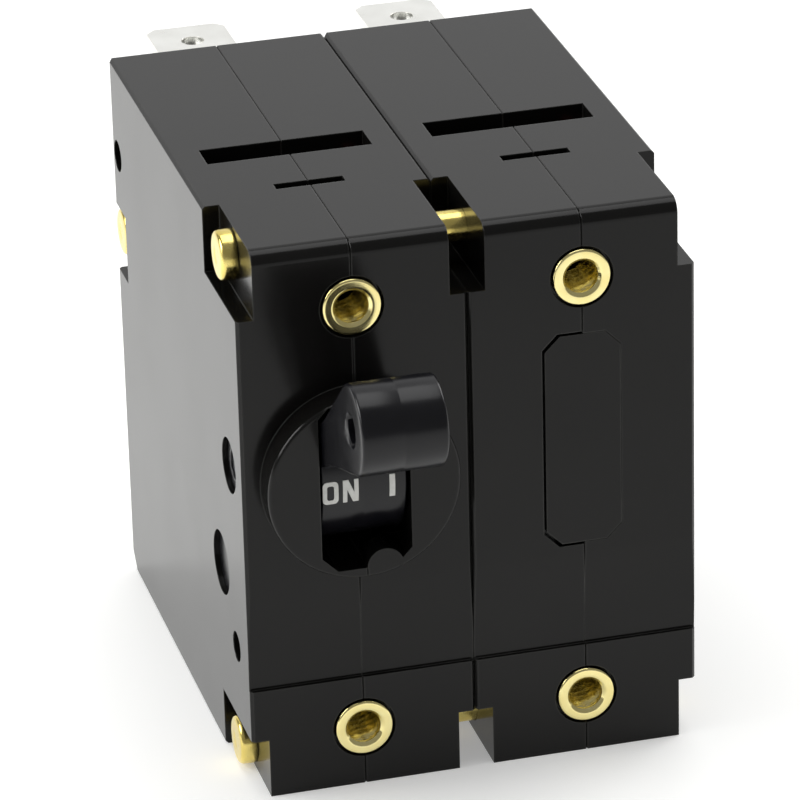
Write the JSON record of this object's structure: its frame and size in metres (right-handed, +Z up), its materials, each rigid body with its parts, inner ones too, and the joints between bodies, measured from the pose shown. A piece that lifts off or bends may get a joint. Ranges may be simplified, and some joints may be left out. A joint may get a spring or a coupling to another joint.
{
  "type": "circuit breaker",
  "caption": "Panel-mount toggle circuit breaker: side-by-side black riveted cases, brass inserts, a lever handle in a round boss, a blanked slot and rear tab terminals.",
  "frame": {"origin": "middle of the base of the box round the whole breaker, handle and terminals included", "axes": "+Z up, -Y out of the front face towards the user, +X to the right seen from the front"},
  "size_m": [0.038, 0.0746, 0.0485],
  "materials": {
    "case_thermoset": "moulded black thermoset, semi-matt",
    "handle_nylon": "moulded black nylon, satin",
    "legend_ink": "white stamped ink",
    "insert_brass": "turned brass, bright",
    "rivet_brass": "headed brass, bright",
    "tinned_copper": "tin plated, satin",
    "plain_copper": "stamped copper, satin",
    "copper_braid": "woven bare copper",
    "enamelled_wire": "enamelled copper wire, glossy",
    "silver_contact": "silver alloy, satin",
    "plated_steel": "zinc plated steel, satin",
    "pin_steel": "ground steel",
    "spring_wire": "drawn spring wire",
    "tube_brass": "drawn brass tube",
    "bobbin_nylon": "moulded natural nylon",
    "chute_fibre": "vulcanised fibre sheet"
  },
  "bodies": {
    "case": {"case_left_1": "case_thermoset", "case_right_1": "case_thermoset", "case_left_2": "case_thermoset", "case_right_2": "case_thermoset", "slot_plug": "case_thermoset", "panel_inserts": "insert_brass", "case_rivets": "rivet_brass", "line_terminal_1": "tinned_copper", "line_terminal_2": "tinned_copper", "load_terminal_1": "tinned_copper", "load_terminal_2": "tinned_copper", "braid_1": "copper_braid", "braid_2": "copper_braid", "coil_1": "enamelled_wire", "coil_2": "enamelled_wire", "fixed_contact_1": "silver_contact", "fixed_contact_2": "silver_contact", "magnet_frame_1": "plated_steel", "magnet_frame_2": "plated_steel", "pole_piece_1": "plated_steel", "pole_piece_2": "plated_steel", "arc_plates_1": "plated_steel", "arc_plates_2": "plated_steel", "arm_pins": "pin_steel", "armature_pins": "pin_steel", "handle_spring": "spring_wire", "arm_spring_1": "spring_wire", "arm_spring_2": "spring_wire", "armature_spring_1": "spring_wire", "armature_spring_2": "spring_wire", "core_spring_1": "spring_wire", "core_spring_2": "spring_wire", "dashpot_tube_1": "tube_brass", "dashpot_tube_2": "tube_brass", "bobbin_1": "bobbin_nylon", "bobbin_2": "bobbin_nylon", "arc_chute_sides_1": "chute_fibre", "arc_chute_sides_2": "chute_fibre"},
    "handle": {"handle": "handle_nylon", "handle_legend": "legend_ink", "blank_hub": "handle_nylon", "coupling_rod": "pin_steel", "crank_pins": "pin_steel"},
    "trip_bar": {"trip_bar": "handle_nylon", "trip_levers": "handle_nylon"},
    "link_1": {"toggle_link_1": "plated_steel"},
    "contact_arm_1": {"contact_arm_1": "plain_copper", "moving_contact_1": "silver_contact"},
    "armature_1": {"armature_1": "plated_steel"},
    "core_1": {"core_1": "pin_steel"},
    "link_2": {"toggle_link_2": "plated_steel"},
    "contact_arm_2": {"contact_arm_2": "plain_copper", "moving_contact_2": "silver_contact"},
    "armature_2": {"armature_2": "plated_steel"},
    "core_2": {"core_2": "pin_steel"}
  },
  "joints": [
    {"name": "handle_toggle", "type": "hinge", "parent": "case", "child": "handle", "pos_m": [-0.00953, -0.01666, 0.02835], "axis": [1, 0, 0], "range_deg": [0, 55], "deforming": ["handle_spring"]},
    {"name": "link_1_swing", "type": "hinge", "parent": "handle", "child": "link_1", "pos_m": [-0.00953, -0.01234, 0.02992], "axis": [1, 0, 0], "range_deg": [-64.2, 0]},
    {"name": "contact_arm_1_swing", "type": "hinge", "parent": "case", "child": "contact_arm_1", "pos_m": [-0.00953, 0.00604, 0.024], "axis": [1, 0, 0], "range_deg": [0, 20.2], "deforming": ["arm_spring_1", "braid_1"]},
    {"name": "link_2_swing", "type": "hinge", "parent": "handle", "child": "link_2", "pos_m": [0.00953, -0.01234, 0.02992], "axis": [1, 0, 0], "range_deg": [-64.2, 0]},
    {"name": "contact_arm_2_swing", "type": "hinge", "parent": "case", "child": "contact_arm_2", "pos_m": [0.00953, 0.00604, 0.024], "axis": [1, 0, 0], "range_deg": [0, 20.2], "deforming": ["arm_spring_2", "braid_2"]},
    {"name": "trip_bar_turn", "type": "hinge", "parent": "case", "child": "trip_bar", "pos_m": [0, -0.01236, 0.0176], "axis": [1, 0, 0], "range_deg": [-12, 0], "stiffness_Nm_per_rad": 0.0015, "springref_deg": 20.05},
    {"name": "armature_1_close", "type": "hinge", "parent": "case", "child": "armature_1", "pos_m": [-0.00953, -0.00396, 0.0191], "axis": [1, 0, 0], "range_deg": [0, 6.1], "deforming": ["armature_spring_1"]},
    {"name": "armature_2_close", "type": "hinge", "parent": "case", "child": "armature_2", "pos_m": [0.00953, -0.00396, 0.0191], "axis": [1, 0, 0], "range_deg": [0, 6.1], "deforming": ["armature_spring_2"]},
    {"name": "core_1_slide", "type": "slide", "parent": "case", "child": "core_1", "axis": [0, -1, 0], "range_m": [0, 0.0085], "stiffness_N_per_m": 8, "springref_m": -0.003, "deforming": ["core_spring_1"]},
    {"name": "core_2_slide", "type": "slide", "parent": "case", "child": "core_2", "axis": [0, -1, 0], "range_m": [0, 0.0085], "stiffness_N_per_m": 8, "springref_m": -0.003, "deforming": ["core_spring_2"]}
  ],
  "couplings": [
    {"joint": "link_1_swing", "follows": "handle_toggle", "ratio": -1.1605},
    {"joint": "contact_arm_1_swing", "follows": "handle_toggle", "ratio": 0.36364},
    {"joint": "link_2_swing", "follows": "handle_toggle", "ratio": -1.1605},
    {"joint": "contact_arm_2_swing", "follows": "handle_toggle", "ratio": 0.36364},
    {"joint": "armature_1_close", "follows": "trip_bar_turn", "ratio": -0.5},
    {"joint": "armature_2_close", "follows": "trip_bar_turn", "ratio": -0.5}
  ]
}
